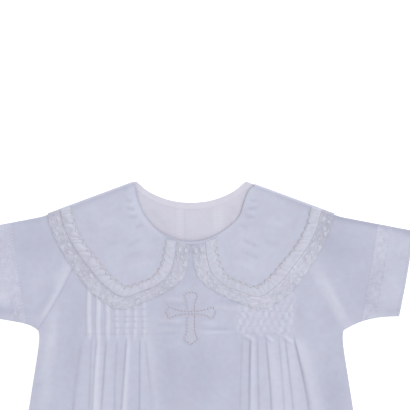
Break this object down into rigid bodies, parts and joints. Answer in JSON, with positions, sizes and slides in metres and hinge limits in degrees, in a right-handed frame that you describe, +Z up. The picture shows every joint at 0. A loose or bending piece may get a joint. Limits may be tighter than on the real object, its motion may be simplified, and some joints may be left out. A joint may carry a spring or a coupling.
{
  "type": "christening gown",
  "caption": "Baby's christening gown lying flat: wide two-part collar with puffed band and scalloped lace, short sleeves with lace let in, smocked panels that open into a long flared skirt.",
  "frame": {"origin": "on the surface the gown lies on, half-way down its length, at the centre back seam", "axes": "+Z up from the surface, +Y towards the neck, +X to the right of the picture, which is the wearer's left"},
  "size_m": [0.4238, 0.6074, 0.0083],
  "materials": {
    "batiste": "plain-woven white cotton batiste",
    "puffed": "gathered white cotton batiste",
    "lace": "white cotton net lace",
    "pearl": "small white shank-less buttons"
  },
  "bodies": {
    "root": {"front": "batiste", "back_left": "batiste", "back_right": "batiste", "back_placket": "batiste", "button_top": "pearl", "button_middle": "pearl", "button_low": "pearl", "sleeve_left": "batiste", "sleeve_right": "batiste", "sleeve_lace_left": "lace", "sleeve_lace_right": "lace", "cuff_left": "batiste", "cuff_right": "batiste", "collar_left": "batiste", "collar_right": "batiste", "collar_band_left": "puffed", "collar_band_right": "puffed", "collar_lace_left": "lace", "collar_lace_right": "lace", "neck_binding": "batiste", "neck_facing_left": "batiste", "neck_facing_right": "batiste"}
  },
  "joints": []
}
